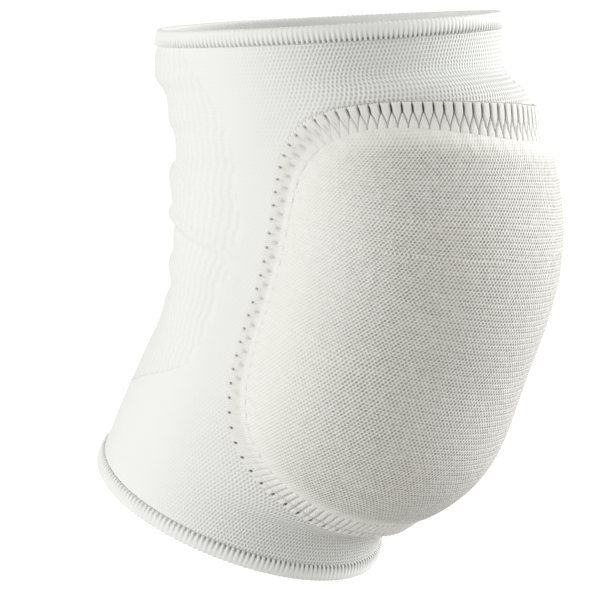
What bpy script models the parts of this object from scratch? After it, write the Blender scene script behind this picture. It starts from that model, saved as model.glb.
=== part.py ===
"""A pull-on knee pad for court sport, in the form that it takes on a slightly bent leg.

Frame: metres, +Z up. The origin is in the middle of the knee, on the leg's axis. The kneecap
faces -Y and the leg's width runs along X. The sleeve is the same on both sides, and the pad
hangs a little lower on its +X side, as worn.

A point on the pad's cloth is given by its station, its turn and its rise. The station is the
distance along the leg's bent axis above the knee. The turn is the angle round the leg from
the kneecap. The rise is the height above the leg's skin, square to it.
"""

from collections import namedtuple
from math import pi, radians

import bmesh
import bpy
import numpy as np

# The leg inside the cloth
THIGH_REACH = 0.0715
SHIN_REACH = 0.1490
THIGH_LEAN = radians(4.0)
SHIN_LEAN = radians(22.0)
BEND_RADIUS = 0.150
THIGH_WIDTH = 0.138
THIGH_DEPTH = 0.148
KNEE_WIDTH = 0.124
KNEE_DEPTH = 0.138
CALF_WIDTH = 0.118
CALF_DEPTH = 0.128

# How the cloth leaves the leg: it rises to the pad's edges in front and creases behind
PAD_LIFT = 0.022
CREASE = 0.0025

# The cloth and its turned hems
CLOTH = 0.0016
HEM_HEIGHT = 0.007
HEM_THICKNESS = 0.0031
CLEARANCE = 0.0003

# The pad, between the middles of its stitched border
PAD_TOP = 0.0385
PAD_BOTTOM = -0.1160
PAD_DIP = 0.0060
PAD_DROOP = 0.0065
PAD_REACH = radians(76.4)
FOAM = 0.0225
PAD_EDGE = 0.0030
PAD_CLEARANCE = 0.0005
BACK_HOLLOW = 0.0006

# The stitched border round the pad, wider along its top than at its sides
BORDER_TOP_WIDTH = 0.0090
BORDER_SIDE_WIDTH = 0.0066
BORDER_BOTTOM_WIDTH = 0.0074
BORDER_THICKNESS = 0.0020
LEG_RADIUS = 0.063

# How finely the round shapes are divided
LEG_SIDES = 48
BORDER_SIDES = 64

LIMBS = {
    "thigh": (THIGH_WIDTH, THIGH_DEPTH),
    "knee": (KNEE_WIDTH, KNEE_DEPTH),
    "calf": (CALF_WIDTH, CALF_DEPTH),
}

# along: share of the reach above or below the knee. width: share of the limb's width.
# front and back: shares of the limb's depth, from the axis.
Section = namedtuple("Section", "along limb width front back")
SECTIONS = [
    Section(-1.00, "calf", 0.98, 0.510, 0.470),
    Section(-0.75, "calf", 0.98, 0.500, 0.445),
    Section(-0.50, "knee", 0.94, 0.480, 0.380),
    Section(-0.25, "knee", 0.97, 0.510, 0.415),
    Section(0.00, "knee", 1.00, 0.530, 0.525),
    Section(0.40, "thigh", 0.93, 0.480, 0.470),
    Section(0.75, "thigh", 0.95, 0.480, 0.505),
    Section(1.00, "thigh", 0.97, 0.475, 0.480),
]

# along: as above. rise: share of PAD_LIFT, on the kneecap's line.
Lift = namedtuple("Lift", "along rise")
LIFTS = [
    Lift(-1.00, 0.00),
    Lift(-0.85, 0.06),
    Lift(-0.80, 0.42),
    Lift(-0.75, 0.62),
    Lift(-0.50, 0.67),
    Lift(-0.20, 0.41),
    Lift(0.10, 0.44),
    Lift(0.38, 0.68),
    Lift(0.52, 0.66),
    Lift(0.61, 0.48),
    Lift(0.70, 0.10),
    Lift(0.80, 0.00),
    Lift(1.00, 0.00),
]

# turn: degrees from the kneecap. share: how much of the lift is left there.
Spread = namedtuple("Spread", "turn share")
SPREADS = [
    Spread(0, 1.00),
    Spread(25, 0.97),
    Spread(45, 0.75),
    Spread(60, 0.42),
    Spread(75, 0.10),
    Spread(85, 0.00),
]

# The pad has turned a little on the leg, so that it hangs lower on its +X side.
# turn: degrees from the kneecap towards +X. share: how much of PAD_DROOP it hangs there.
Droop = namedtuple("Droop", "turn share")
DROOPS = [
    Droop(-45, 0.00),
    Droop(-20, 0.10),
    Droop(0, 0.35),
    Droop(20, 0.70),
    Droop(40, 0.95),
    Droop(60, 1.00),
]

# along: as above. rise: share of CREASE, out or in, on the line behind the knee.
Crease = namedtuple("Crease", "along rise")
CREASES = [
    Crease(-1.00, 0.3),
    Crease(-0.60, 0.2),
    Crease(-0.42, -0.3),
    Crease(-0.31, -0.3),
    Crease(-0.20, 0.5),
    Crease(-0.10, 0.5),
    Crease(0.00, -0.4),
    Crease(0.10, -1.6),
    Crease(0.20, -1.8),
    Crease(0.32, -0.9),
    Crease(0.45, -0.2),
    Crease(0.60, -0.7),
    Crease(0.72, 0.1),
    Crease(0.85, 0.9),
    Crease(1.00, 0.3),
]

# share: distance from the pad's middle to its edge. height: share of the foam's thickness.
Dome = namedtuple("Dome", "share height")
DOME = [
    Dome(0.00, 1.00),
    Dome(0.45, 0.92),
    Dome(0.65, 0.76),
    Dome(0.82, 0.48),
    Dome(0.94, 0.20),
    Dome(1.00, 0.00),
]
FRONT_RINGS = [0.22, 0.42, 0.58, 0.72, 0.84, 0.93, 1.00]
BACK_RINGS = [0.14, 0.28, 0.42, 0.55, 0.67, 0.77, 0.86, 0.93, 1.00]

# The pad's outline is squarer above the knee than below it
UPPER_SQUARENESS = 5.5
LOWER_SQUARENESS = 3.4

# along: station of a row of the sleeve's mesh, as a share of the reach
SLEEVE_ROWS = [
    -0.90, -0.85, -0.82, -0.79, -0.76, -0.73, -0.69, -0.64, -0.57, -0.50, -0.42, -0.35,
    -0.28, -0.21, -0.14, -0.07, 0.00, 0.12, 0.22, 0.32, 0.40, 0.47, 0.53, 0.58, 0.63, 0.68, 0.74,
    0.82,
]


def curve(place, table):
    """Smooth line through a table of two columns, with the chord's slope at each row."""
    at, value = np.array(table, dtype=float).T
    slope = np.empty_like(value)
    slope[1:-1] = (value[2:] - value[:-2]) / (at[2:] - at[:-2])
    slope[0] = (value[1] - value[0]) / (at[1] - at[0])
    slope[-1] = (value[-1] - value[-2]) / (at[-1] - at[-2])
    row = np.clip(np.searchsorted(at, place) - 1, 0, len(at) - 2)
    step = at[row + 1] - at[row]
    t = np.clip((place - at[row]) / step, 0.0, 1.0)
    ends = value[row] * (1 + 2 * t) * (1 - t) ** 2 + value[row + 1] * t * t * (3 - 2 * t)
    turns = slope[row] * t * (1 - t) ** 2 - slope[row + 1] * t * t * (1 - t)
    return ends + step * turns


def station(along):
    """Metres above the knee of a share of the reach."""
    along = np.asarray(along, dtype=float)
    return along * np.where(along < 0, SHIN_REACH, THIGH_REACH)


def share(place):
    """Share of the reach of a station, the inverse of station()."""
    return place / np.where(place < 0, SHIN_REACH, THIGH_REACH)


def leg_axis(place):
    """Y and Z of the leg's bent axis at a station, and its lean there."""
    middle = (THIGH_LEAN - SHIN_LEAN) / 2
    half_bend = BEND_RADIUS * (THIGH_LEAN + SHIN_LEAN) / 2
    inside = np.clip(place, -half_bend, half_bend)
    lean = middle + inside / BEND_RADIUS
    y = BEND_RADIUS * (np.cos(middle) - np.cos(lean)) + (place - inside) * np.sin(lean)
    z = BEND_RADIUS * (np.sin(lean) - np.sin(middle)) + (place - inside) * np.cos(lean)
    return y, z, lean


def half_sizes(place):
    """The leg's half width, and its depth in front of and behind the axis, at a station."""
    rows = [station(section.along) for section in SECTIONS]
    width = [LIMBS[s.limb][0] * s.width / 2 for s in SECTIONS]
    front = [LIMBS[s.limb][1] * s.front for s in SECTIONS]
    back = [LIMBS[s.limb][1] * s.back for s in SECTIONS]
    return [curve(place, list(zip(rows, sizes))) for sizes in (width, front, back)]


def droop(turn):
    """Metres that the pad hangs lower at a turn round the leg."""
    return PAD_DROOP * curve(np.degrees(np.arctan2(np.sin(turn), np.cos(turn))), DROOPS)


def skin(place, turn):
    """The cloth's inner face: an oval round the axis, lifted in front and creased behind."""
    width, front, back = half_sizes(place)
    y, z, lean = leg_axis(place)
    from_front = np.degrees(np.arccos(np.cos(turn)))
    lift = PAD_LIFT * curve(share(place + droop(turn)), LIFTS) * curve(from_front, SPREADS)
    crease = CREASE * curve(share(place), CREASES) * np.clip(-np.cos(turn), 0.0, 1.0) ** 2
    forward = np.where(np.cos(turn) > 0, front, back) * np.cos(turn) + lift - crease
    return np.stack([width * np.sin(turn), y - forward * np.cos(lean), z + forward * np.sin(lean)], -1)


def cloth(place, turn, rise):
    """The point at a height above the skin, square to it."""
    place, turn, rise = np.broadcast_arrays(*(np.asarray(v, dtype=float) for v in (place, turn, rise)))
    step = 0.0002
    along = skin(place + step, turn) - skin(place - step, turn)
    around = skin(place, turn + step) - skin(place, turn - step)
    normal = np.cross(around, along)
    normal /= np.linalg.norm(normal, axis=-1, keepdims=True)
    return skin(place, turn) + normal * rise[..., None]


def pad_place(turn, reach, margin=0.0):
    """Station and turn round the leg of a point of the pad.

    turn is its direction from the pad's middle, reach is 0 there and 1 on the border's
    middle, and margin moves the outline out by that many metres.
    """
    across = np.cos(turn)
    up = np.sin(turn)
    squareness = np.where(up > 0, UPPER_SQUARENESS, LOWER_SQUARENESS)
    scale = (np.abs(across) ** squareness + np.abs(up) ** squareness) ** (-1 / squareness)
    half_height = (PAD_TOP - PAD_BOTTOM) / 2 + margin
    half_turn = PAD_REACH + margin / LEG_RADIUS
    middle = (PAD_TOP + PAD_BOTTOM) / 2
    side = across * scale * reach
    level = up * scale * reach
    dip = PAD_DIP * np.clip(level, 0.0, 1.0) ** 2 * (1 - side ** 2) ** 2
    round_leg = side * half_turn
    return middle + level * half_height - dip - droop(round_leg), round_leg


def border_half(turn):
    """Half the border's width at a direction from the pad's middle."""
    up = np.sin(turn)
    end = np.where(up > 0, BORDER_TOP_WIDTH, BORDER_BOTTOM_WIDTH)
    return (BORDER_SIDE_WIDTH + (end - BORDER_SIDE_WIDTH) * up ** 2) / 2


def circle(sides):
    return np.arange(sides) * 2 * pi / sides


def rounded_bar(start, end, low, high, bevel):
    """Eight corners of a bar's section, from start to end and low to high."""
    return [
        (start, low + bevel), (start, high - bevel), (start + bevel, high), (end - bevel, high),
        (end, high - bevel), (end, low + bevel), (end - bevel, low), (start + bevel, low),
    ]


def closed_mesh(name, points, poles=None):
    """A mesh from a grid of points that closes round its first axis.

    The second axis closes too, or ends in two poles.
    """
    around, rows = points.shape[:2]
    mesh = bmesh.new()
    grid = [[mesh.verts.new(point) for point in line] for line in points.tolist()]
    ends = [mesh.verts.new(pole) for pole in poles] if poles is not None else None
    for i in range(around):
        this = grid[i]
        following = grid[(i + 1) % around]
        for j in range(rows - 1 if ends else rows):
            k = (j + 1) % rows
            mesh.faces.new((this[j], this[k], following[k], following[j]))
        if ends:
            mesh.faces.new((ends[0], this[0], following[0]))
            mesh.faces.new((this[-1], ends[1], following[-1]))
    bmesh.ops.triangulate(mesh, faces=mesh.faces[:])
    bmesh.ops.recalc_face_normals(mesh, faces=mesh.faces[:])
    data = bpy.data.meshes.new(name)
    mesh.to_mesh(data)
    mesh.free()
    data.shade_smooth()
    data.set_sharp_from_angle(angle=radians(40))
    piece = bpy.data.objects.new(name, data)
    bpy.context.scene.collection.objects.link(piece)
    return piece


def paint(piece, colour, roughness):
    material = bpy.data.materials.new(piece.name)
    material.use_nodes = True
    shader = material.node_tree.nodes["Principled BSDF"]
    shader.inputs["Base Color"].default_value = (*colour, 1.0)
    shader.inputs["Roughness"].default_value = roughness
    shader.inputs["Metallic"].default_value = 0.0
    piece.data.materials.append(material)


def around_leg(name, section):
    """A closed band round the leg from its section, a loop of stations and rises."""
    place, rise = np.array(section).T
    return closed_mesh(name, cloth(place[None, :], circle(LEG_SIDES)[:, None], rise[None, :]))


def sleeve():
    """The knitted tube, up to its hems."""
    low = -SHIN_REACH + HEM_HEIGHT + CLEARANCE
    high = THIGH_REACH - HEM_HEIGHT - CLEARANCE
    rows = [low, *station(SLEEVE_ROWS), high]
    outside = [(row, CLOTH) for row in rows]
    inside = [(row, 0.0) for row in reversed(rows)]
    return around_leg("sleeve", outside + inside)


def upper_hem():
    bevel = HEM_THICKNESS / 3
    section = rounded_bar(THIGH_REACH - HEM_HEIGHT, THIGH_REACH, 0.0, HEM_THICKNESS, bevel)
    return around_leg("upper_hem", section)


def lower_hem():
    bevel = HEM_THICKNESS / 3
    section = rounded_bar(-SHIN_REACH, -SHIN_REACH + HEM_HEIGHT, 0.0, HEM_THICKNESS, bevel)
    return around_leg("lower_hem", section)


def knee_pad():
    """The foam in its cover: flat against the sleeve behind, domed in front."""
    turn = circle(BORDER_SIDES)[:, None]
    margin = -border_half(turn) - CLEARANCE
    bottom = CLOTH + PAD_CLEARANCE
    back = np.array(BACK_RINGS)
    front = np.array(FRONT_RINGS)[::-1]
    reach = np.concatenate([back, front])
    back_rise = bottom + BACK_HOLLOW * (1 - back ** 4)
    front_rise = bottom + PAD_EDGE + (FOAM - PAD_EDGE) * curve(front, DOME)
    rise = np.concatenate([back_rise, front_rise])
    points = cloth(*pad_place(turn, reach[None, :], margin), rise[None, :])
    middle = pad_place(0.0, 0.0)
    poles = [cloth(*middle, bottom + BACK_HOLLOW), cloth(*middle, bottom + FOAM)]
    return closed_mesh("knee_pad", points, [pole.tolist() for pole in poles])


def pad_border():
    """The flat stitched band that joins the pad to the sleeve."""
    turn = circle(BORDER_SIDES)[:, None]
    low = CLOTH + PAD_CLEARANCE
    high = low + BORDER_THICKNESS
    bevel = BORDER_THICKNESS / 4
    half = BORDER_SIDE_WIDTH / 2
    section = rounded_bar(-half, half, low, high, bevel)
    section.insert(3, (0.0, high))
    section.insert(8, (0.0, low))
    side, rise = np.array(section).T
    margin = side[None, :] * border_half(turn) / half
    return closed_mesh("pad_border", cloth(*pad_place(turn, 1.0, margin), rise[None, :]))


def main():
    for thing in list(bpy.data.objects):
        bpy.data.objects.remove(thing)
    white = (0.86, 0.86, 0.84)
    paint(sleeve(), white, 0.85)
    paint(upper_hem(), white, 0.85)
    paint(lower_hem(), white, 0.85)
    paint(knee_pad(), (0.83, 0.83, 0.80), 0.88)
    paint(pad_border(), (0.88, 0.88, 0.86), 0.80)


main()
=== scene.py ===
"""The finish of a pull-on knee pad: knitted sleeve, ribbed hems, padded front and stitched seam.

A point on the cloth is given by its station, its turn and its rise. The station is the distance
along the leg's bent axis above the knee. The turn is the angle round the leg from the kneecap.
The rise is the height above the leg's skin, square to it. The first part repeats the form that
the solids have, so that each piece lies where its solid does.
"""

from collections import namedtuple
from math import pi, radians

import bpy
import numpy as np
from bpy.props import FloatProperty, FloatVectorProperty, PointerProperty
from mathutils import Matrix, Vector


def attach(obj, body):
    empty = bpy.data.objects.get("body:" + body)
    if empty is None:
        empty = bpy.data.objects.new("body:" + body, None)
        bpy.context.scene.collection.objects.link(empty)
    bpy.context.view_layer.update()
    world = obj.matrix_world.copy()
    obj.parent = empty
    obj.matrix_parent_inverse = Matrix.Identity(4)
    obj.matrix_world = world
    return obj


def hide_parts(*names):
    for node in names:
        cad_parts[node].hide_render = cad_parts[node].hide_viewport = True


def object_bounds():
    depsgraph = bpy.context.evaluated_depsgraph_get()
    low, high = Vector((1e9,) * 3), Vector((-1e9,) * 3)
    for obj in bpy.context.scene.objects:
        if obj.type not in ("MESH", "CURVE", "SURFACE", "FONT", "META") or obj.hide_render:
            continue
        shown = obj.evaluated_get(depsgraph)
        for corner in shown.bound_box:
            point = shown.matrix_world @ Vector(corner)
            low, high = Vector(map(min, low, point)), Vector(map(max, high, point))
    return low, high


bl_info = {
    "name": "Knee pad finish",
    "version": (1, 0, 0),
    "blender": (4, 5, 0),
    "location": "3D View > Sidebar > Knee pad",
    "description": "Builds the knitted, padded and stitched surfaces of a pull-on knee pad",
    "category": "Object",
}

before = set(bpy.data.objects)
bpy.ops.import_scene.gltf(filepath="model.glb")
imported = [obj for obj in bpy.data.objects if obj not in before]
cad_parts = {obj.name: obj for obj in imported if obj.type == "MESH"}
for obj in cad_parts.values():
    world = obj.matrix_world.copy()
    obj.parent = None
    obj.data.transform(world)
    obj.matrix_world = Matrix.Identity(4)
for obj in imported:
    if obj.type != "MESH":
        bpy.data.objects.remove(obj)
CAD_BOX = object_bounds()
BODY = "root"

# The leg inside the cloth
THIGH_REACH = 0.0715
SHIN_REACH = 0.1490
THIGH_LEAN = radians(4.0)
SHIN_LEAN = radians(22.0)
BEND_RADIUS = 0.150
THIGH_WIDTH = 0.138
THIGH_DEPTH = 0.148
KNEE_WIDTH = 0.124
KNEE_DEPTH = 0.138
CALF_WIDTH = 0.118
CALF_DEPTH = 0.128
LEG_RADIUS = 0.063
PAD_LIFT = 0.022
CREASE = 0.0025

# The cloth, its hems, the pad and the seam round it
CLOTH = 0.0016
HEM_HEIGHT = 0.007
HEM_THICKNESS = 0.0031
CLEARANCE = 0.0003
PAD_TOP = 0.0385
PAD_BOTTOM = -0.1160
PAD_DIP = 0.0060
PAD_DROOP = 0.0065
PAD_REACH = radians(76.4)
FOAM = 0.0225
PAD_EDGE = 0.0030
PAD_CLEARANCE = 0.0005
BACK_HOLLOW = 0.0006
BORDER_TOP_WIDTH = 0.0090
BORDER_SIDE_WIDTH = 0.0066
BORDER_BOTTOM_WIDTH = 0.0074
BORDER_THICKNESS = 0.0020
UPPER_SQUARENESS = 5.5
LOWER_SQUARENESS = 3.4

LIMBS = {
    "thigh": (THIGH_WIDTH, THIGH_DEPTH),
    "knee": (KNEE_WIDTH, KNEE_DEPTH),
    "calf": (CALF_WIDTH, CALF_DEPTH),
}

# along: share of the reach above or below the knee. width, front and back: shares of the limb.
Section = namedtuple("Section", "along limb width front back")
SECTIONS = [
    Section(-1.00, "calf", 0.98, 0.510, 0.470),
    Section(-0.75, "calf", 0.98, 0.500, 0.445),
    Section(-0.50, "knee", 0.94, 0.480, 0.380),
    Section(-0.25, "knee", 0.97, 0.510, 0.415),
    Section(0.00, "knee", 1.00, 0.530, 0.525),
    Section(0.40, "thigh", 0.93, 0.480, 0.470),
    Section(0.75, "thigh", 0.95, 0.480, 0.505),
    Section(1.00, "thigh", 0.97, 0.475, 0.480),
]

# along: as above. rise: share of PAD_LIFT, on the kneecap's line.
Lift = namedtuple("Lift", "along rise")
LIFTS = [
    Lift(-1.00, 0.00),
    Lift(-0.85, 0.06),
    Lift(-0.80, 0.42),
    Lift(-0.75, 0.62),
    Lift(-0.50, 0.67),
    Lift(-0.20, 0.41),
    Lift(0.10, 0.44),
    Lift(0.38, 0.68),
    Lift(0.52, 0.66),
    Lift(0.61, 0.48),
    Lift(0.70, 0.10),
    Lift(0.80, 0.00),
    Lift(1.00, 0.00),
]

# turn: degrees from the kneecap. share: how much of the lift is left there.
Spread = namedtuple("Spread", "turn share")
SPREADS = [
    Spread(0, 1.00),
    Spread(25, 0.97),
    Spread(45, 0.75),
    Spread(60, 0.42),
    Spread(75, 0.10),
    Spread(85, 0.00),
]

# The pad has turned a little on the leg, so that it hangs lower on its +X side.
# turn: degrees from the kneecap towards +X. share: how much of PAD_DROOP it hangs there.
Droop = namedtuple("Droop", "turn share")
DROOPS = [
    Droop(-45, 0.00),
    Droop(-20, 0.10),
    Droop(0, 0.35),
    Droop(20, 0.70),
    Droop(40, 0.95),
    Droop(60, 1.00),
]

# along: as above. rise: share of CREASE, out or in, on the line behind the knee.
Crease = namedtuple("Crease", "along rise")
CREASES = [
    Crease(-1.00, 0.3),
    Crease(-0.60, 0.2),
    Crease(-0.42, -0.3),
    Crease(-0.31, -0.3),
    Crease(-0.20, 0.5),
    Crease(-0.10, 0.5),
    Crease(0.00, -0.4),
    Crease(0.10, -1.6),
    Crease(0.20, -1.8),
    Crease(0.32, -0.9),
    Crease(0.45, -0.2),
    Crease(0.60, -0.7),
    Crease(0.72, 0.1),
    Crease(0.85, 0.9),
    Crease(1.00, 0.3),
]

# share: distance from the pad's middle to its edge. height: share of the foam's thickness.
Dome = namedtuple("Dome", "share height")
DOME = [
    Dome(0.00, 1.00),
    Dome(0.45, 0.92),
    Dome(0.65, 0.76),
    Dome(0.82, 0.48),
    Dome(0.94, 0.20),
    Dome(1.00, 0.00),
]

# The smoother knit behind the knee. along: as above. turn: degrees from the kneecap to its edge.
Edge = namedtuple("Edge", "along turn")
BACK_KNIT = [
    Edge(-0.82, 176),
    Edge(-0.73, 144),
    Edge(-0.63, 121),
    Edge(-0.57, 108),
    Edge(-0.51, 98),
    Edge(-0.44, 94),
    Edge(-0.31, 91),
    Edge(-0.255, 93),
    Edge(-0.21, 89),
    Edge(-0.155, 94),
    Edge(-0.09, 88),
    Edge(0.00, 91),
    Edge(0.30, 94),
    Edge(0.42, 97),
    Edge(0.57, 101),
    Edge(0.88, 114),
    Edge(1.00, 120),
]

# Folds across the back of the knee. along: as above. turn and length: degrees from the kneecap
# to the fold's middle, and from there to its ends. height: share of the fold height, out or in.
# width: share of the fold width. tilt: metres that its ends lie above its middle.
Fold = namedtuple("Fold", "along turn length height width tilt")
FOLDS = [
    Fold(0.86, 180, 70, 0.9, 1.0, -0.002),
    Fold(0.71, 176, 62, 2.2, 0.9, 0.002),
    Fold(0.45, 184, 60, 1.1, 1.6, 0.004),
    Fold(0.03, 178, 70, -1.6, 1.4, 0.007),
    Fold(-0.19, 181, 78, 2.0, 0.9, 0.007),
    Fold(-0.225, 178, 76, -1.1, 0.7, 0.006),
    Fold(-0.25, 180, 74, 1.8, 3.4, 0.006),
    Fold(-0.34, 182, 72, 2.0, 1.1, 0.005),
    Fold(-0.41, 180, 64, -0.5, 0.7, 0.004),
    Fold(-0.45, 176, 56, 0.6, 1.0, 0.003),
    Fold(-0.62, 184, 44, 0.3, 1.6, 0.000),
]

# The knit behind the knee: spacing of its ribs and rows, and lengths of the ribs' two waves
BACK_RIB = 0.0047
BACK_ROW = 0.0019
LONG_WAVE = 0.021
SHORT_WAVE = 0.0083

# The puckers round the pad's edge, and how much closer the seam's stitches lie along its top
PUCKERS = 96
TOP_CLOSER = 0.5

# Edges that turn by more than this are shaded sharp
SHARP_ANGLE = radians(60)


def curve(place, table):
    """Smooth line through a table of two columns, with the chord's slope at each row."""
    at, value = np.array(table, dtype=float).T
    slope = np.empty_like(value)
    slope[1:-1] = (value[2:] - value[:-2]) / (at[2:] - at[:-2])
    slope[0] = (value[1] - value[0]) / (at[1] - at[0])
    slope[-1] = (value[-1] - value[-2]) / (at[-1] - at[-2])
    row = np.clip(np.searchsorted(at, place) - 1, 0, len(at) - 2)
    step = at[row + 1] - at[row]
    t = np.clip((place - at[row]) / step, 0.0, 1.0)
    ends = value[row] * (1 + 2 * t) * (1 - t) ** 2 + value[row + 1] * t * t * (3 - 2 * t)
    turns = slope[row] * t * (1 - t) ** 2 - slope[row + 1] * t * t * (1 - t)
    return ends + step * turns


def station(along):
    """Metres above the knee of a share of the reach."""
    along = np.asarray(along, dtype=float)
    return along * np.where(along < 0, SHIN_REACH, THIGH_REACH)


def share(place):
    """Share of the reach of a station, the inverse of station()."""
    return place / np.where(place < 0, SHIN_REACH, THIGH_REACH)


def from_front(turn):
    """Degrees from the kneecap of a turn, the same on both sides."""
    return np.degrees(np.arccos(np.cos(turn)))


def smooth(value, low, high):
    """0 below low and 1 above high, with a smooth rise between."""
    t = np.clip((value - low) / (high - low), 0.0, 1.0)
    return t * t * (3 - 2 * t)


def leg_axis(place):
    """Y and Z of the leg's bent axis at a station, and its lean there: an arc between two lines."""
    middle = (THIGH_LEAN - SHIN_LEAN) / 2
    half_bend = BEND_RADIUS * (THIGH_LEAN + SHIN_LEAN) / 2
    inside = np.clip(place, -half_bend, half_bend)
    lean = middle + inside / BEND_RADIUS
    y = BEND_RADIUS * (np.cos(middle) - np.cos(lean)) + (place - inside) * np.sin(lean)
    z = BEND_RADIUS * (np.sin(lean) - np.sin(middle)) + (place - inside) * np.cos(lean)
    return y, z, lean


def half_sizes(place):
    """The leg's half width, and its depth in front of and behind the axis, at a station."""
    rows = [station(s.along) for s in SECTIONS]
    width = [LIMBS[s.limb][0] * s.width / 2 for s in SECTIONS]
    front = [LIMBS[s.limb][1] * s.front for s in SECTIONS]
    back = [LIMBS[s.limb][1] * s.back for s in SECTIONS]
    return [curve(place, list(zip(rows, sizes))) for sizes in (width, front, back)]


def droop(turn):
    """Metres that the pad hangs lower at a turn round the leg."""
    return PAD_DROOP * curve(np.degrees(np.arctan2(np.sin(turn), np.cos(turn))), DROOPS)


def skin(place, turn):
    """The cloth's inner face: an oval round the axis, lifted in front and creased behind."""
    width, front, back = half_sizes(place)
    y, z, lean = leg_axis(place)
    lift = PAD_LIFT * curve(share(place + droop(turn)), LIFTS) * curve(from_front(turn), SPREADS)
    crease = CREASE * curve(share(place), CREASES) * np.clip(-np.cos(turn), 0.0, 1.0) ** 2
    forward = np.where(np.cos(turn) > 0, front, back) * np.cos(turn) + lift - crease
    return np.stack([width * np.sin(turn), y - forward * np.cos(lean), z + forward * np.sin(lean)], -1)


def cloth(place, turn, rise):
    """The point at a height above the skin, square to it."""
    place, turn, rise = np.broadcast_arrays(*(np.asarray(v, dtype=float) for v in (place, turn, rise)))
    step = 0.0002
    along = skin(place + step, turn) - skin(place - step, turn)
    around = skin(place, turn + step) - skin(place, turn - step)
    normal = np.cross(around, along)
    normal /= np.linalg.norm(normal, axis=-1, keepdims=True)
    return skin(place, turn) + normal * rise[..., None]


def pad_place(turn, reach, margin=0.0):
    """Station and turn round the leg of a point of the pad.

    turn is its direction from the pad's middle, reach is 0 there and 1 on the seam's middle,
    and margin moves the outline, a superellipse with a dipped top, out by that many metres.
    """
    across = np.cos(turn)
    up = np.sin(turn)
    squareness = np.where(up > 0, UPPER_SQUARENESS, LOWER_SQUARENESS)
    scale = (np.abs(across) ** squareness + np.abs(up) ** squareness) ** (-1 / squareness)
    half_height = (PAD_TOP - PAD_BOTTOM) / 2 + margin
    half_turn = PAD_REACH + margin / LEG_RADIUS
    middle = (PAD_TOP + PAD_BOTTOM) / 2
    side = across * scale * reach
    level = up * scale * reach
    dip = PAD_DIP * np.clip(level, 0.0, 1.0) ** 2 * (1 - side**2) ** 2
    round_leg = side * half_turn
    return middle + level * half_height - dip - droop(round_leg), round_leg


def border_half(turn):
    """Half the seam's width at a direction from the pad's middle."""
    up = np.sin(turn)
    end = np.where(up > 0, BORDER_TOP_WIDTH, BORDER_BOTTOM_WIDTH)
    return (BORDER_SIDE_WIDTH + (end - BORDER_SIDE_WIDTH) * up**2) / 2


def circle(sides):
    """Angles of the corners of a regular polygon, from 0 up to a full turn, without its end."""
    return np.arange(sides) * 2 * pi / sides


class Sizes(bpy.types.PropertyGroup):
    """Sizes of the knit, the hems, the folds and the stitches."""

    knit_width: FloatProperty(
        name="Stitch width",
        description="Width of one knitted stitch of the sleeve, at the thigh",
        default=0.00167,
        precision=5,
        unit="LENGTH",
    )
    knit_height: FloatProperty(
        name="Stitch height",
        description="Height of two rows of the sleeve's stitches",
        default=0.00332,
        precision=5,
        unit="LENGTH",
    )
    knit_depth: FloatProperty(
        name="Knit depth",
        description="Depth of the holes between the stitches",
        default=0.00040,
        precision=5,
        unit="LENGTH",
    )
    cover_width: FloatProperty(
        name="Cover stitch width",
        description="Width of one knitted stitch of the pad's cover",
        default=0.00175,
        precision=5,
        unit="LENGTH",
    )
    cover_rib: FloatProperty(
        name="Cover rib",
        description="Distance between the low ribs that run across the pad's cover",
        default=0.00255,
        precision=5,
        unit="LENGTH",
    )
    hem_rib: FloatProperty(
        name="Hem rib",
        description="Distance between the ribs of the hems",
        default=0.00212,
        precision=5,
        unit="LENGTH",
    )
    hem_groove: FloatProperty(
        name="Hem groove",
        description="Depth of the grooves between the ribs of the hems, at the sleeve",
        default=0.0008,
        precision=5,
        unit="LENGTH",
    )
    fold: FloatProperty(
        name="Fold height",
        description="Height of the folds behind the knee",
        default=0.0011,
        precision=5,
        unit="LENGTH",
    )
    fold_spacing: FloatProperty(
        name="Fold width",
        description="Half width of a fold behind the knee",
        default=0.0042,
        precision=5,
        unit="LENGTH",
    )
    stitch: FloatProperty(
        name="Seam stitch",
        description="Length of one stitch of the seam, at the pad's sides",
        default=0.0062,
        precision=5,
        unit="LENGTH",
    )
    loop: FloatProperty(
        name="Loop depth",
        description="Depth of the grooves between the thread loops of the seam",
        default=0.0012,
        precision=5,
        unit="LENGTH",
    )
    pucker: FloatProperty(
        name="Pucker",
        description="Height of the small waves that the seam pulls into the pad's cover",
        default=0.00015,
        precision=5,
        unit="LENGTH",
    )
    swell: FloatProperty(
        name="Swell",
        description="The most that the stretched cover may move when it is let swell over the foam",
        default=0.0025,
        precision=5,
        unit="LENGTH",
    )


class Colours(bpy.types.PropertyGroup):
    """Colours of the yarns and of the shade between them."""

    sleeve: FloatVectorProperty(
        name="Sleeve yarn",
        description="Colour of the sleeve's yarn",
        subtype="COLOR",
        default=(0.87, 0.88, 0.865),
        min=0.0,
        max=1.0,
    )
    cover: FloatVectorProperty(
        name="Cover yarn",
        description="Colour of the pad cover's yarn",
        subtype="COLOR",
        default=(0.875, 0.867, 0.832),
        min=0.0,
        max=1.0,
    )
    thread: FloatVectorProperty(
        name="Seam thread",
        description="Colour of the thread of the seam",
        subtype="COLOR",
        default=(0.88, 0.88, 0.85),
        min=0.0,
        max=1.0,
    )
    shade: FloatVectorProperty(
        name="Shade",
        description="Colour of the holes and grooves between the yarns",
        subtype="COLOR",
        default=(0.20, 0.19, 0.165),
        min=0.0,
        max=1.0,
    )
    floor: FloatVectorProperty(
        name="Floor",
        description="Colour of the floor and backdrop",
        subtype="COLOR",
        default=(0.92, 0.92, 0.92),
        min=0.0,
        max=1.0,
    )


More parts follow.
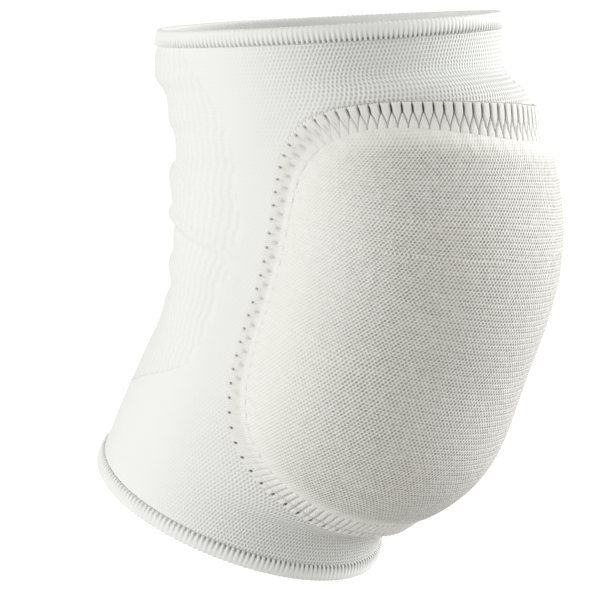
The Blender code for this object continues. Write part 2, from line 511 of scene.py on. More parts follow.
class Number:
    """A number inside a material. Python's operators on it add the Math nodes that work it out."""

    def __init__(self, finish, socket):
        self.finish = finish
        self.socket = socket

    def math(self, operation, *others):
        return self.finish.node("ShaderNodeMath", {"operation": operation}, [self, *others])

    def __add__(self, other):
        return self.math("ADD", other)

    def __sub__(self, other):
        return self.math("SUBTRACT", other)

    def __rsub__(self, other):
        return self.finish.node("ShaderNodeMath", {"operation": "SUBTRACT"}, [other, self])

    def __mul__(self, other):
        return self.math("MULTIPLY", other)

    def __truediv__(self, other):
        return self.math("DIVIDE", other)

    def cos(self):
        return self.math("COSINE")

    def sin(self):
        return self.math("SINE")

    def size(self):
        return self.math("ABSOLUTE")

    def smooth(self, low, high):
        """0 at low and 1 at high, with a smooth rise or fall between."""
        settings = {"interpolation_type": "SMOOTHSTEP"}
        values = {"Value": self, "From Min": low, "From Max": high}
        return self.finish.node("ShaderNodeMapRange", settings, values)


class Finish:
    """A material under construction, with its Principled shader."""

    def __init__(self, name, roughness):
        self.material = bpy.data.materials.new(name)
        self.material.use_nodes = True
        self.tree = self.material.node_tree
        self.shader = self.tree.nodes["Principled BSDF"]
        self.shader.inputs["Roughness"].default_value = roughness
        self.shader.inputs["Specular IOR Level"].default_value = 0.25
        self.shader.inputs["Sheen Weight"].default_value = 0.12
        self.shader.inputs["Sheen Roughness"].default_value = 0.5

    def put(self, socket, value):
        """A link from a Number, or a plain value, into a socket."""
        if isinstance(value, Number):
            self.tree.links.new(value.socket, socket)
        elif socket.type == "RGBA" and len(value) == 3:
            socket.default_value = (*value, 1.0)
        else:
            socket.default_value = value

    def node(self, kind, settings=None, values=None, output=0):
        """A node with its settings made first and then the values or links of its sockets."""
        node = self.tree.nodes.new(kind)
        for name, setting in (settings or {}).items():
            setattr(node, name, setting)
        items = values.items() if isinstance(values, dict) else enumerate(values or [])
        for name, value in items:
            self.put(node.inputs[name], value)
        return Number(self, node.outputs[output])

    def measure(self):
        """Distances on the cloth in metres: round the leg or along the seam, and across that."""
        place = self.node("ShaderNodeUVMap", {"uv_map": "cloth"})
        apart = self.tree.nodes.new("ShaderNodeSeparateXYZ")
        self.put(apart.inputs[0], place)
        return Number(self, apart.outputs[0]), Number(self, apart.outputs[1])

    def attribute(self, name):
        """A number that the mesh holds at each of its points."""
        return self.node("ShaderNodeAttribute", {"attribute_name": name}, output=2)

    def noise(self, scale, detail=3.0):
        """Slow changes over the piece, about 1 / scale metres long, from 0 to 1."""
        place = self.node("ShaderNodeTexCoord", output=3)
        return self.node("ShaderNodeTexNoise", {}, {"Vector": place, "Scale": scale, "Detail": detail})

    def mix(self, share_of_b, a, b):
        """Colour a where the share is 0 and b where it is 1."""
        settings = {"data_type": "RGBA"}
        return self.node("ShaderNodeMix", settings, {0: share_of_b, 6: a, 7: b}, output=2)

    def paint(self, colour, height, depth, roughness=None):
        """Sets what changes over the surface: colour, roughness, and a height in shares of a depth."""
        self.put(self.shader.inputs["Base Color"], colour)
        bump = self.node("ShaderNodeBump", {}, {"Strength": 1.0, "Distance": depth, "Height": height})
        self.put(self.shader.inputs["Normal"], bump)
        if roughness is not None:
            self.put(self.shader.inputs["Roughness"], roughness)
        return self.material


def knit_holes(across, up, width, height):
    """The holes of a plain knit, 1 in a hole and 0 on the yarn.

    Three waves, one along the rows and two slanted across them, add up to a peak in each hole.
    Each row of holes lies half a stitch on from the last. One slant is the stronger one, because
    the stitches lean, and it changes sides from row to row.
    """
    round_row = across * (2 * pi / width)
    up_row = up * (2 * pi / height)
    sway = up_row.sin() * 0.45
    waves = (round_row - up_row + sway).cos() + (round_row + up_row + sway).cos() * 0.55
    return (waves + (up_row * 2).cos() * 0.45).smooth(-1.0, 1.9)


def sleeve_finish(sizes, colours):
    """Stretch knit: holes between the stitches, closer and smoother behind the knee."""
    knit = Finish("sleeve_knit", 0.85)
    across, up = knit.measure()
    openness = knit.attribute("openness")
    inside = knit.attribute("back_knit")
    drift = knit.noise(60.0) - 0.5
    holes = knit_holes(across + drift * 0.0006, up + drift * 0.0004, sizes.knit_width, sizes.knit_height)
    holes = holes * openness
    back = inside.smooth(-0.0008, 0.0012)
    wave = (up * (2 * pi / LONG_WAVE)).sin() * 1.3 + (up * (2 * pi / SHORT_WAVE)).sin() * 0.5 + drift * 5.0
    ribs = ((across * (2 * pi / BACK_RIB) + wave).cos() + 1.0) * 0.5
    rows = ((up * (2 * pi / BACK_ROW)).cos() + 1.0) * 0.5
    cord = 1 - (inside.size() / 0.0011).smooth(0.2, 1.0)
    height = (1 - holes) * (1 - back * 0.85) + back * (ribs * 0.50 + rows * 0.12) + cord * 0.15
    mottle = knit.noise(35.0, 4.0).smooth(0.2, 0.8)
    yarn = knit.mix(mottle * 0.35, colours.sleeve, [c * 0.97 for c in colours.sleeve])
    shade = holes * 0.42 * (1 - back * 0.8) + back * (1 - ribs) * 0.035
    colour = knit.mix(shade, yarn, colours.shade)
    return knit.paint(colour, height, sizes.knit_depth, holes * 0.1 + 0.82)


def hem_finish(sizes, colours):
    """Ribbed welt: grooves between the ribs, which widen and darken towards the sleeve."""
    hem = Finish("hem_knit", 0.85)
    across, up = hem.measure()
    wave = (across * (pi / sizes.hem_rib)).cos().size()
    near_sleeve = up.smooth(HEM_HEIGHT * 0.35, HEM_HEIGHT * 0.97)
    groove = wave.smooth(0.62, 1.0)
    notch = groove * (near_sleeve * 0.80 + 0.04)
    dot_line = 1 - ((up - HEM_HEIGHT * 0.93) / 0.0011).size().smooth(0.2, 1.0)
    dot = wave.smooth(0.55, 0.95) * dot_line
    rim_line = 1 - ((up + 0.0002) / 0.0009).size().smooth(0.3, 1.0)
    scallop = groove * rim_line * 0.20
    shade = (notch * 0.55 + dot * 0.45 + scallop) * hem.attribute("openness")
    fine = hem.noise(900.0, 2.0)
    yarn = hem.mix(fine * 0.25, colours.sleeve, [c * 0.95 for c in colours.sleeve])
    colour = hem.mix(shade, yarn, colours.shade)
    return hem.paint(colour, fine * 0.5 - notch, 0.0003)


def cover_finish(sizes, colours):
    """Coarse knit pulled over foam: holes in rows, with each second row standing up as a rib."""
    cover = Finish("pad_cover", 0.88)
    across, up = cover.measure()
    drift = cover.noise(45.0) - 0.5
    level = up + drift * 0.0009
    holes = knit_holes(across + drift * 0.0012, level, sizes.cover_width, sizes.cover_rib)
    rib = ((level * (2 * pi / sizes.cover_rib)).cos() + 1.0) * 0.5
    openness = cover.attribute("openness")
    holes = holes * (cover.noise(380.0, 2.0) * 1.3 + 0.35)
    height = rib * 0.35 + (1 - holes) * 0.85
    mottle = cover.noise(28.0, 4.0).smooth(0.25, 0.75)
    darker = [c * part for c, part in zip(colours.cover, (0.975, 0.972, 0.955))]
    yarn = cover.mix(mottle * 0.4, colours.cover, darker)
    shade = (holes * 0.66 + (1 - rib) * 0.05) * openness
    colour = cover.mix(shade, yarn, colours.shade)
    return cover.paint(colour, height * (openness * 0.7 + 0.3), sizes.knit_depth)


def seam_finish(sizes, colours):
    """Seam of thick thread: fine strands along each loop, needle holes between, and painted shade in the
    holes and grooves.
    """
    seam = Finish("border_stitch", 0.8)
    along, across = seam.measure()
    relief = seam.attribute("relief")
    hole = seam.attribute("hole")
    strands = (((along + across * 0.5) * (2 * pi / 0.00095)).cos() + 1.0) * 0.5
    needle = (along * (3 * pi / sizes.stitch)).cos().size().smooth(0.80, 0.99)
    outer_line = 1 - ((across + BORDER_SIDE_WIDTH * 0.47) / 0.00045).size().smooth(0.2, 1.0)
    low = 1 - relief.smooth(0.25, 0.85)
    fine = seam.noise(700.0, 2.0)
    thread = seam.mix(fine * 0.3, colours.thread, [c * 0.95 for c in colours.thread])
    # Painted shade: darker in the low grooves, between the strands there, and at the needle holes of the
    # outer line.
    shade = low * 0.38 + needle * outer_line * 0.55 + strands * low * 0.10
    shaded_thread = seam.mix(shade, thread, colours.shade)
    # Painted shade, darker still, in the slits and holes that the hole attribute marks.
    colour = seam.mix(hole, shaded_thread, [c * 0.30 for c in colours.shade])
    return seam.paint(colour, strands * 0.6 + fine * 0.4, 0.00018)


def piece_from_grid(name, points, measure, material, attributes=None, ends=False):
    """A closed piece from a grid of points, one quad for each cell.

    Rows of the grid follow the piece's section and close on themselves, unless ends is set.
    Columns go round and always close. measure gives each corner's place on the cloth, with one
    more column than points, and one more row where the rows close.
    """
    rows, columns = points.shape[:2]
    cells = rows - 1 if ends else rows
    i, j = np.meshgrid(np.arange(cells), np.arange(columns), indexing="ij")
    corner_row = np.stack([i, i, i + 1, i + 1], -1).reshape(-1, 4)
    corner_column = np.stack([j, j + 1, j + 1, j], -1).reshape(-1, 4)
    faces = (corner_row % rows) * columns + corner_column % columns
    uv = measure[corner_row, corner_column]
    return piece_from_faces(name, points.reshape(-1, 3), faces, uv, material, attributes)


def piece_from_faces(name, points, faces, uv, material, attributes=None):
    """A smooth mesh object from points and quads, turned so that its faces point out."""
    a, b, c, d = (points[faces[:, k]] for k in range(4))
    volume = (a * np.cross(b, c)).sum() + (a * np.cross(c, d)).sum()
    if volume < 0:
        faces = faces[:, ::-1]
        uv = uv[:, ::-1]
    mesh = bpy.data.meshes.new(name)
    mesh.vertices.add(len(points))
    mesh.vertices.foreach_set("co", points.astype(np.float32).ravel())
    mesh.loops.add(faces.size)
    mesh.loops.foreach_set("vertex_index", faces.astype(np.int32).ravel())
    mesh.polygons.add(len(faces))
    mesh.polygons.foreach_set("loop_start", np.arange(0, faces.size, 4, dtype=np.int32))
    mesh.update(calc_edges=True)
    layer = mesh.uv_layers.new(name="cloth")
    layer.data.foreach_set("uv", np.ascontiguousarray(uv, dtype=np.float32).ravel())
    for key, values in (attributes or {}).items():
        mesh.attributes.new(key, "FLOAT", "POINT")
        mesh.attributes[key].data.foreach_set("value", values.astype(np.float32).ravel())
    mesh.shade_smooth()
    mesh.set_sharp_from_angle(angle=SHARP_ANGLE)
    mesh.materials.append(material)
    piece = bpy.data.objects.new(name, mesh)
    bpy.context.scene.collection.objects.link(piece)
    return piece


def openness_at(place, turn):
    """How far the knit is stretched open: most in front, above and below the pad, least behind."""
    beside_pad = 26.0 * np.exp(-(((place + 0.025) / 0.055) ** 2))
    sides = 1 - smooth(from_front(turn) + beside_pad, 42.0, 100.0)
    return 0.06 + 0.94 * sides


def folds_at(place, turn, sizes):
    """Height of the folds behind the knee: a sum of smooth ridges and hollows.

    Each is highest on a line across the back that rises towards its ends, falls off along the
    leg as a bell curve, and fades out at its ends. A slow wave keeps its line from being straight.
    """
    height = np.zeros(np.broadcast(place, turn).shape)
    behind = np.degrees(turn) % 360
    for fold in FOLDS:
        aside = (behind - fold.turn) / fold.length
        wave = 0.0011 * np.sin(4.0 * turn + 9.0 * fold.along)
        line = station(fold.along) + fold.tilt * aside**2 + wave
        across = (place - line) / (sizes.fold_spacing * fold.width)
        height += fold.height * np.exp(-(across**2)) * np.exp(-(np.abs(aside) ** 3))
    return sizes.fold * height


def make_sleeve(sizes, colours):
    """The knitted tube: an outer face with its folds, and a plainer inner face."""
    around, outside, inside = 320, 190, 40
    low = -SHIN_REACH + HEM_HEIGHT + CLEARANCE / 2
    high = THIGH_REACH - HEM_HEIGHT - CLEARANCE / 2
    turn = circle(around)[None, :]
    up = np.linspace(low, high, outside)[:, None]
    down = np.linspace(high, low, inside)[:, None]
    place = np.concatenate([up, down])
    is_outside = np.concatenate([np.ones_like(up), np.zeros_like(down)])
    edge = curve(share(place), BACK_KNIT)
    back_knit = (from_front(turn) - edge) * radians(1) * LEG_RADIUS
    thinner = 0.0002 * smooth(back_knit, -0.001, 0.003)
    fade = smooth(place - low, 0.0, 0.006) * smooth(high - place, 0.0, 0.004)
    relief = folds_at(place, turn, sizes) * fade - thinner
    rise = is_outside * (CLOTH + relief) + (1 - is_outside) * np.minimum(relief, 0.0) * 0.6
    points = cloth(place, turn, rise)
    stitches = round(2 * pi * (THIGH_WIDTH + THIGH_DEPTH) / 4 / sizes.knit_width)
    share_round = np.arange(around + 1)[None, :] / around
    measure = np.zeros((len(place) + 1, around + 1, 2))
    measure[..., 0] = share_round * stitches * sizes.knit_width
    measure[:-1, :, 1] = place
    measure[-1, :, 1] = place[0]
    attributes = {
        "openness": openness_at(place, turn) + 0 * place,
        "back_knit": back_knit,
    }
    return piece_from_grid("sleeve_knit", points, measure, sleeve_finish(sizes, colours), attributes)


def make_hem(name, rim, towards_sleeve, sizes, material):
    """A turned welt round the leg, ribbed across.

    Its section is a closed loop: up the outer side from the rim to the sleeve, round both edges,
    and back along the inner side. On the outer side the rise is less in the grooves between the
    ribs, by the size of a cosine of the distance round the leg, and the grooves deepen from the
    rim to the sleeve.
    """
    width = THIGH_WIDTH if rim > 0 else CALF_WIDTH
    depth = THIGH_DEPTH if rim > 0 else CALF_DEPTH
    ribs = round(2 * pi * (width + depth) / 4 / sizes.hem_rib)
    around, section = ribs * 8, 30
    turn = circle(around)[None, :]
    loop = circle(section)[:, None]
    half_height = HEM_HEIGHT / 2
    half_thickness = HEM_THICKNESS / 2
    squared = 0.52
    along = np.sign(np.cos(loop)) * np.abs(np.cos(loop)) ** squared
    out = np.sign(np.sin(loop)) * np.abs(np.sin(loop)) ** squared
    towards = (along + 1) / 2
    groove = smooth(np.abs(np.cos(turn * ribs / 2)), 0.45, 1.0)
    outer = smooth(out, -0.2, 0.8)
    cut = sizes.hem_groove * groove * outer * (0.05 + 0.95 * smooth(towards, 0.40, 1.0))
    scallop = 0.00025 * groove * smooth(-along, 0.5, 1.0)
    place = rim + towards_sleeve * (half_height + along * half_height + scallop)
    rise = half_thickness + out * half_thickness - cut
    points = cloth(place, turn, rise)
    measure = np.zeros((section + 1, around + 1, 2))
    measure[..., 0] = np.arange(around + 1)[None, :] / around * ribs * sizes.hem_rib
    from_rim = (towards * HEM_HEIGHT)[:, 0]
    measure[:-1, :, 1] = from_rim[:, None]
    measure[-1, :, 1] = from_rim[0]
    openness = (0.25 + 0.75 * openness_at(rim, turn)) * (0.1 + 0.9 * outer)
    return piece_from_grid(name, points, measure, material, {"openness": openness})


def disc_from_square(across, up):
    """Direction and reach on a disc of a point of a square, with the square's edge on the disc's."""
    x = across * np.sqrt(1 - up**2 / 2)
    y = up * np.sqrt(1 - across**2 / 2)
    return np.arctan2(y, x), np.hypot(x, y)


def cushion_grid(columns, rows):
    """Corners of two square grids, a front and a back, that share their outer edge.

    Gives the square's two coordinates and a flag for the back, for each point, and the quads.
    """
    across, up = np.meshgrid(np.linspace(-1, 1, columns), np.linspace(-1, 1, rows))
    front = np.arange(rows * columns).reshape(rows, columns)
    inner = front[1:-1, 1:-1]
    back = front.copy()
    back[1:-1, 1:-1] = rows * columns + np.arange(inner.size).reshape(inner.shape)
    corners = [
        np.stack([grid[:-1, :-1], grid[:-1, 1:], grid[1:, 1:], grid[1:, :-1]], -1).reshape(-1, 4)
        for grid in (front, back)
    ]
    faces = np.concatenate([corners[0], corners[1][:, ::-1]])
    s = np.concatenate([across.ravel(), across[1:-1, 1:-1].ravel()])
    t = np.concatenate([up.ravel(), up[1:-1, 1:-1].ravel()])
    is_back = np.concatenate([np.zeros(front.size), np.ones(inner.size)])
    return s, t, is_back, faces


def cushion_points(s, t, is_back, pucker=0.0):
    """Points of the padded cover, with their stations, their turns and their reach on the pad.

    The front rises over the foam as the dome table says, and the back follows the sleeve. Near
    the seam the front has small waves, the puckers, that fade towards the middle.
    """
    direction, reach = disc_from_square(s, t)
    place, turn = pad_place(direction, reach, -border_half(direction) - CLEARANCE)
    bottom = CLOTH + PAD_CLEARANCE
    dome = bottom + PAD_EDGE + (FOAM - PAD_EDGE) * curve(np.clip(reach, 0, 1), DOME)
    hollow = bottom + BACK_HOLLOW * (1 - np.clip(reach, 0, 1) ** 4)
    waves = np.cos(direction * PUCKERS) * smooth(reach, 0.90, 0.99)
    rise = np.where(is_back > 0, hollow, dome + pucker * waves)
    return cloth(place, turn, rise), place, turn, reach


def swell(points, faces, held, limit, frames=20):
    """Movement of a closed cloth that is let swell by pressure for some frames, up to a limit."""
    scene = bpy.context.scene
    mesh = bpy.data.meshes.new("cover_sheet")
    mesh.from_pydata(points.tolist(), [], faces.tolist())
    sheet = bpy.data.objects.new("cover_sheet", mesh)
    scene.collection.objects.link(sheet)
    pins = sheet.vertex_groups.new(name="held")
    pins.add(np.flatnonzero(held).tolist(), 1.0, "REPLACE")
    modifier = sheet.modifiers.new("Cloth", "CLOTH")
    settings = modifier.settings
    settings.vertex_group_mass = "held"
    settings.use_pressure = True
    settings.uniform_pressure_force = 4.0
    settings.effector_weights.gravity = 0.0
    settings.quality = 6
    settings.mass = 0.25
    settings.tension_stiffness = 30.0
    settings.compression_stiffness = 30.0
    settings.bending_stiffness = 1.5
    modifier.point_cache.frame_start = 1
    modifier.point_cache.frame_end = frames
    for step in range(1, frames + 1):
        scene.frame_set(step)
    evaluated = sheet.evaluated_get(bpy.context.evaluated_depsgraph_get())
    end = np.empty(len(points) * 3, dtype=np.float32)
    evaluated.data.vertices.foreach_get("co", end)
    bpy.data.objects.remove(sheet)
    bpy.data.meshes.remove(mesh)
    scene.frame_set(1)
    move = end.reshape(-1, 3) - points
    length = np.linalg.norm(move, axis=1, keepdims=True)
    return move * np.minimum(1.0, limit / np.maximum(length, 1e-9))


def finer(values, columns, rows):
    """Values of a coarse grid on a finer one, by straight lines between them, then evened out."""
    coarse_rows, coarse_columns = values.shape[:2]
    at = np.linspace(0, coarse_rows - 1, rows)
    low = np.minimum(at.astype(int), coarse_rows - 2)
    part = (at - low)[:, None, None]
    tall = values[low] * (1 - part) + values[low + 1] * part
    at = np.linspace(0, coarse_columns - 1, columns)
    low = np.minimum(at.astype(int), coarse_columns - 2)
    part = (at - low)[None, :, None]
    fine = tall[:, low] * (1 - part) + tall[:, low + 1] * part
    for _ in range(12):
        fine[1:-1] = (fine[:-2] + 2 * fine[1:-1] + fine[2:]) / 4
        fine[:, 1:-1] = (fine[:, :-2] + 2 * fine[:, 1:-1] + fine[:, 2:]) / 4
    return fine


def distances(line):
    """Distance along a line of points, from its first to each of them."""
    return np.append(0, np.cumsum(np.linalg.norm(np.diff(line, axis=0), axis=1)))


def make_cover(sizes, colours):
    """The pad: a closed cover that swells over the foam, held at its seam and behind."""
    columns, rows = 170, 190
    in_front = slice(rows * columns)
    s, t, is_back, faces = cushion_grid(columns, rows)
    points, place, turn, reach = cushion_points(s, t, is_back, sizes.pucker)
    few_columns, few_rows = 38, 42
    coarse_s, coarse_t, coarse_back, coarse_faces = cushion_grid(few_columns, few_rows)
    start, _, _, coarse_reach = cushion_points(coarse_s, coarse_t, coarse_back)
    held = (coarse_back > 0) | (coarse_reach > 0.999)
    move = swell(start, coarse_faces, held, sizes.swell)
    front = move[: few_rows * few_columns].reshape(few_rows, few_columns, 3)
    fine = finer(front, columns, rows).reshape(-1, 3)
    fade = 1 - smooth(reach[in_front], 0.96, 1.0)
    points[in_front] += fine * fade[:, None]
    front_points = points[in_front].reshape(rows, columns, 3)
    over = distances(front_points[rows // 2])
    up = distances(front_points[:, columns // 2])
    turns = turn[in_front].reshape(rows, columns)[rows // 2]
    places = place[in_front].reshape(rows, columns)[:, columns // 2]
    stretch = up[-1] / (places[-1] - places[0])
    beyond = place - np.clip(place, places[0], places[-1])
    height = np.interp(place, places, up) + (beyond + droop(turn)) * stretch
    measure = np.stack([np.interp(turn, turns, over), height], -1)
    openness = 0.08 + 0.92 * (1 - smooth(reach, 0.90, 1.0)) * (1 - smooth(from_front(turn), 38, 68))
    material = cover_finish(sizes, colours)
    return piece_from_faces("pad_cover", points, faces, measure[faces], material, {"openness": openness})


def stitch_relief(along, across, lean, pulled):
    """Height and hole of the seam's loops of thread, from 0 to 1.

    along counts stitches, across goes from -1 at the sleeve to 1 at the pad, lean is 1 where the
    loops lie aslant, and pulled is 1 where the thread is pulled tight and its slits gape. At each
    whole number a slit runs in from the sleeve's side and forks in two near the middle. Its arms
    meet those of the next slits at the pad's side, so flat lobes are left in two rows. Where the
    loops lie aslant there is a slanted groove at each half number instead, and a shallow line
    between the two rows. Where the thread is loose a soft wedge between the needle holes lies
    lower and is given a light painted shade. A groove's depth is a bell curve of the distance
    from its line. The hole marks where the seam's finish paints shade: the slits, the needle
    holes, the loose wedges and the gaping grooves.
    """
    leaned = along - 0.12 * lean * (across + 0.62)
    aside = np.abs(leaned - np.round(leaned))
    fork = np.clip(0.5 * (across + 0.10) / 0.95, 0.0, 0.5)
    half_aside = np.abs(leaned - np.round(2 * leaned) / 2)
    gap = np.abs(aside - fork) * (1 - lean) + half_aside * lean
    depth = 1 - 0.40 * (1 - lean) * smooth(across, -0.2, 0.5)
    soft = np.exp(-((gap / 0.13) ** 2))
    narrow = np.exp(-((gap / 0.055) ** 2))
    edge = smooth(1 + across, 0.0, 0.16)
    between = lean * np.exp(-(((across + 0.22) / 0.12) ** 2))
    relief = (1 - depth * (0.35 * soft + 0.50 * narrow)) * (1 - 0.70 * between) * edge
    pull = pulled * (1 - lean)
    long = np.exp(-((aside / 0.10) ** 2)) * np.exp(-(((across + 0.40) / 0.36) ** 4))
    short = np.exp(-((aside / 0.070) ** 2)) * np.exp(-(((across + 0.62) / 0.11) ** 2)) * (1 + 0.8 * lean)
    taper = 0.26 - 0.18 * smooth(across, -0.3, 0.6)
    wedge = np.exp(-(((0.5 - aside) / taper) ** 2))
    loose = (1 - pulled) * (1 - lean) * wedge * smooth(across, -0.3, 0.2) * (1 - smooth(across, 0.3, 0.6))
    # Painted shade goes where this mask is high: the slits, the needle dots and, lightly, the loose
    # wedges.
    hole = long * pull + short * (1 - pull) + 0.20 * loose
    relief = 1 - (1 - relief) * pulled - 0.5 * loose
    return relief, np.clip(hole + 0.35 * narrow * pulled, 0, 1) * edge


def square_to_seam(turn, margin):
    """Direction of the point of a margin's outline that lies square to the seam's middle.

    The first guess is the direction of the middle's own point. It moves by how far the point is
    out of square, over how fast the outline runs there, three times.
    """

    def flat(direction, out):
        place, round_leg = pad_place(direction, 1.0, out)
        return np.stack([round_leg * LEG_RADIUS, place], -1)

    step = 0.001
    middle = flat(turn, 0.0)
    line = flat(turn + step, 0.0) - flat(turn - step, 0.0)
    line /= np.linalg.norm(line, axis=-1, keepdims=True)
    found = turn + 0 * margin
    for _ in range(3):
        run = flat(found + step, margin) - flat(found - step, margin)
        speed = (run * line).sum(-1) / (2 * step)
        found = found - ((flat(found, margin) - middle) * line).sum(-1) / speed
    return found


def make_seam(sizes, colours):
    """The band of stitches that joins the pad to the sleeve, with two rows of thread loops.

    along counts the stitches round the pad. They lie closer together along its top.
    """
    around, top, under = 1900, 38, 6
    fine = circle(4 * around)
    ring = cloth(*pad_place(fine, 1.0), CLOTH)
    step = np.linalg.norm(np.diff(ring, axis=0, append=ring[:1]), axis=1)
    distance = np.append(0, np.cumsum(step))
    closer = 1 + TOP_CLOSER * smooth(np.sin(fine), 0.35, 0.85)
    counted = np.append(0, np.cumsum(step * closer))
    stitches = round(counted[-1] / sizes.stitch)
    even = np.arange(around + 1) / around * distance[-1]
    along = np.interp(even, distance, counted)[None, :] * stitches / counted[-1]
    turn = np.interp(even[:-1], distance, np.append(fine, 2 * pi))[None, :]
    over = np.linspace(-1, 1, top)
    back = np.linspace(1, -1, under + 2)[1:-1]
    across = np.concatenate([over, back])[:, None]
    is_top = np.concatenate([np.ones(top), np.zeros(under)])[:, None]
    lean = smooth(-np.sin(turn), 0.25, 0.75)
    margin = -across * border_half(turn) - CLEARANCE * smooth(across, 0.5, 1.0)
    place, round_leg = pad_place(square_to_seam(turn, margin), 1.0, margin)
    pulled = (0.12 + 0.88 * (1 - smooth(from_front(round_leg), 45.0, 72.0))) * (1 - 0.35 * lean)
    relief, hole = stitch_relief(along[:, :-1], across, lean, pulled)
    low = CLOTH + PAD_CLEARANCE
    crown = BORDER_THICKNESS - sizes.loop * (1 - relief + 0.4 * hole)
    crown += (PAD_EDGE - BORDER_THICKNESS) * smooth(across, 0.45, 1.0)
    crown *= 0.3 + 0.7 * smooth(across, -1.0, -0.85)
    points = cloth(place, round_leg, low + is_top * crown)
    measure = np.zeros((top + under + 1, around + 1, 2))
    measure[..., 0] = along * sizes.stitch
    measure[:-1, :, 1] = across * BORDER_SIDE_WIDTH / 2
    measure[-1, :, 1] = -BORDER_SIDE_WIDTH / 2
    attributes = {"relief": 1 - (1 - relief) * is_top, "hole": hole * is_top}
    return piece_from_grid("border_stitch", points, measure, seam_finish(sizes, colours), attributes)


# The photograph's view
VIEW_TURN = radians(-54.0)
VIEW_HEIGHT = radians(8.0)
VIEW_DISTANCE = 1.6
VIEW_SCALE = 0.00042
PHOTO_SIDE = 600
KNEE_PIXEL = (333, 190)
SENSOR = 0.036

# Soft lights round the pad. turn: degrees round from the camera, to its right. height: degrees
# above the pad. power in watts. size: side in metres. warmth: how much less blue than red.
Lamp = namedtuple("Lamp", "name turn height power size warmth")
LAMPS = [
    Lamp("left_lamp", -64, 12, 12.0, 1.3, -0.03),
    Lamp("right_lamp", 102, 18, 26.0, 1.2, -0.02),
    Lamp("low_lamp", -40, -34, 3.0, 1.4, 0.00),
]
LAMP_DISTANCE = 1.5
LAMP_TARGET = (0.0, 0.0, -0.03)
AIR_LIGHT = 0.50
AIR_COLOUR = (1.0, 0.98, 0.93)

# The backdrop: how far its floor lies below the pad, its radius, height and bend, and its glow
FLOOR_DROP = 2.40
SWEEP_RADIUS = 9.0
SWEEP_HEIGHT = 7.0
SWEEP_BEND = 2.5
BACKDROP_GLOW = 0.72


def direction(turn, height):
    """Unit vector from the pad at a turn round from -Y and a height above the horizon."""
    return Vector((np.sin(turn) * np.cos(height), -np.cos(turn) * np.cos(height), np.sin(height)))


def aimed(thing, place, target):
    """Puts a camera or lamp at a place, looking at a target."""
    holder = bpy.data.objects.new(thing.name, thing)
    look = (Vector(target) - Vector(place)).to_track_quat("-Z", "Y").to_matrix().to_4x4()
    holder.matrix_world = Matrix.Translation(place) @ look
    bpy.context.scene.collection.objects.link(holder)
    return holder


def make_backdrop(colours):
    """A pale floor that sweeps up into a wall all round: a flat disc, an arc and a straight side."""
    sides, ring = 96, 40
    along = np.linspace(0, 1, ring)[:, None]
    floor = np.clip(along / 0.3, 0, 1)
    arc = np.clip((along - 0.3) / 0.4, 0, 1) * pi / 2
    wall = np.clip((along - 0.7) / 0.3, 0, 1)
    radius = 0.01 + (SWEEP_RADIUS - SWEEP_BEND) * floor + SWEEP_BEND * np.sin(arc)
    height = SWEEP_BEND * (1 - np.cos(arc)) + (SWEEP_HEIGHT - SWEEP_BEND) * wall
    turn = circle(sides)[None, :]
    z = CAD_BOX[0][2] - FLOOR_DROP + height + 0 * turn
    points = np.stack([radius * np.sin(turn), -radius * np.cos(turn), z], -1)
    measure = np.zeros((ring, sides + 1, 2))
    stage = Finish("backdrop", 0.9)
    stage.shader.inputs["Sheen Weight"].default_value = 0.0
    stage.shader.inputs["Base Color"].default_value = (*colours.floor, 1.0)
    stage.shader.inputs["Emission Color"].default_value = (1.0, 1.0, 1.0, 1.0)
    stage.shader.inputs["Emission Strength"].default_value = BACKDROP_GLOW
    backdrop = piece_from_grid("backdrop", points, measure, stage.material, ends=True)
    backdrop.visible_diffuse = False
    backdrop.visible_shadow = False


def make_lights():
    """Soft lamps, aimed at the pad, and a dim warm light from everywhere."""
    for lamp in LAMPS:
        light = bpy.data.lights.new(lamp.name, "AREA")
        light.energy = lamp.power
        light.shape = "SQUARE"
        light.size = lamp.size
        light.color = (1.0, 1.0 - lamp.warmth * 0.4, 1.0 - lamp.warmth)
        place = direction(VIEW_TURN + radians(lamp.turn), radians(lamp.height)) * LAMP_DISTANCE
        holder = aimed(light, place, LAMP_TARGET)
        holder.visible_camera = False
    world = bpy.data.worlds.new("air")
    world.use_nodes = True
    air = world.node_tree.nodes["Background"]
    air.inputs["Color"].default_value = (*AIR_COLOUR, 1.0)
    air.inputs["Strength"].default_value = AIR_LIGHT
    bpy.context.scene.world = world
    bpy.context.scene.view_settings.view_transform = "Standard"


def make_camera():
    """The camera at the photograph's angle, with the knee at the photograph's pixel."""
    back = direction(VIEW_TURN, VIEW_HEIGHT)
    right = Vector((np.cos(VIEW_TURN), np.sin(VIEW_TURN), 0.0))
    up = back.cross(right)
    aside = (PHOTO_SIDE / 2 - KNEE_PIXEL[0]) * VIEW_SCALE
    below = (PHOTO_SIDE / 2 - KNEE_PIXEL[1]) * VIEW_SCALE
    target = right * aside - up * below
    camera = bpy.data.cameras.new("camera")
    camera.sensor_width = SENSOR * 1000
    camera.lens = SENSOR * 1000 * VIEW_DISTANCE / (PHOTO_SIDE * VIEW_SCALE)
    camera.clip_end = 100.0
    bpy.context.scene.camera = aimed(camera, target + back * VIEW_DISTANCE, target)


def settings():
    """The sizes and the colours that the scene holds."""
    scene = bpy.context.scene
    return scene.knee_pad_sizes, scene.knee_pad_colours


class KNEEPAD_OT_sleeve(bpy.types.Operator):
    """Builds the knitted sleeve with its folds behind the knee"""

    bl_idname = "knee_pad.sleeve"
    bl_label = "Knitted sleeve"

    def execute(self, context):
        sleeve = make_sleeve(*settings())
        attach(sleeve, BODY)
        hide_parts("sleeve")
        return {"FINISHED"}


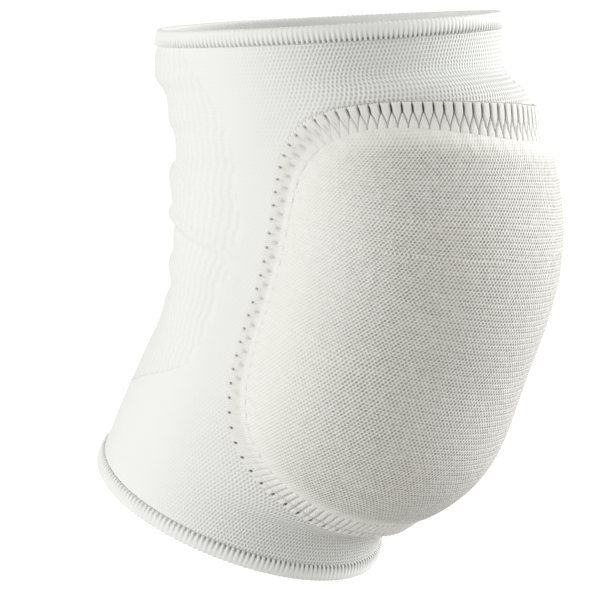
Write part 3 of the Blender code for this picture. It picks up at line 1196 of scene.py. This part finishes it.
class KNEEPAD_OT_hems(bpy.types.Operator):
    """Builds the ribbed hems round the thigh and the calf"""

    bl_idname = "knee_pad.hems"
    bl_label = "Ribbed hems"

    def execute(self, context):
        sizes, colours = settings()
        material = hem_finish(sizes, colours)
        upper = make_hem("upper_hem_welt", THIGH_REACH, -1, sizes, material)
        lower = make_hem("lower_hem_welt", -SHIN_REACH, 1, sizes, material)
        for hem, node in ((upper, "upper_hem"), (lower, "lower_hem")):
            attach(hem, BODY)
            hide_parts(node)
        return {"FINISHED"}


class KNEEPAD_OT_cover(bpy.types.Operator):
    """Builds the padded front, its cover swollen over the foam"""

    bl_idname = "knee_pad.cover"
    bl_label = "Padded front"

    def execute(self, context):
        cover = make_cover(*settings())
        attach(cover, BODY)
        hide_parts("knee_pad")
        return {"FINISHED"}


class KNEEPAD_OT_seam(bpy.types.Operator):
    """Builds the band of thread loops round the padded front"""

    bl_idname = "knee_pad.seam"
    bl_label = "Stitched seam"

    def execute(self, context):
        seam = make_seam(*settings())
        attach(seam, BODY)
        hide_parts("pad_border")
        return {"FINISHED"}


class KNEEPAD_OT_stage(bpy.types.Operator):
    """Builds the floor, the lights and the camera"""

    bl_idname = "knee_pad.stage"
    bl_label = "Stage"

    def execute(self, context):
        _, colours = settings()
        make_backdrop(colours)
        make_lights()
        make_camera()
        return {"FINISHED"}


OPERATORS = (KNEEPAD_OT_sleeve, KNEEPAD_OT_hems, KNEEPAD_OT_cover, KNEEPAD_OT_seam, KNEEPAD_OT_stage)


class KNEEPAD_PT_panel(bpy.types.Panel):
    """Lists the builders of the knee pad's pieces, with their sizes and colours"""

    bl_idname = "KNEEPAD_PT_panel"
    bl_label = "Knee pad"
    bl_space_type = "VIEW_3D"
    bl_region_type = "UI"
    bl_category = "Knee pad"

    def draw(self, context):
        for operator in OPERATORS:
            self.layout.operator(operator.bl_idname)
        for group in settings():
            box = self.layout.box()
            for name in group.__annotations__:
                box.prop(group, name)


CLASSES = (Sizes, Colours, *OPERATORS, KNEEPAD_PT_panel)


def register():
    for entry in CLASSES:
        bpy.utils.register_class(entry)
    bpy.types.Scene.knee_pad_sizes = PointerProperty(type=Sizes)
    bpy.types.Scene.knee_pad_colours = PointerProperty(type=Colours)


def unregister():
    del bpy.types.Scene.knee_pad_colours
    del bpy.types.Scene.knee_pad_sizes
    for entry in reversed(CLASSES):
        bpy.utils.unregister_class(entry)


def main():
    register()
    bpy.ops.knee_pad.sleeve()
    bpy.ops.knee_pad.hems()
    bpy.ops.knee_pad.cover()
    bpy.ops.knee_pad.seam()
    bpy.ops.knee_pad.stage()


if __name__ == "__main__":
    main()
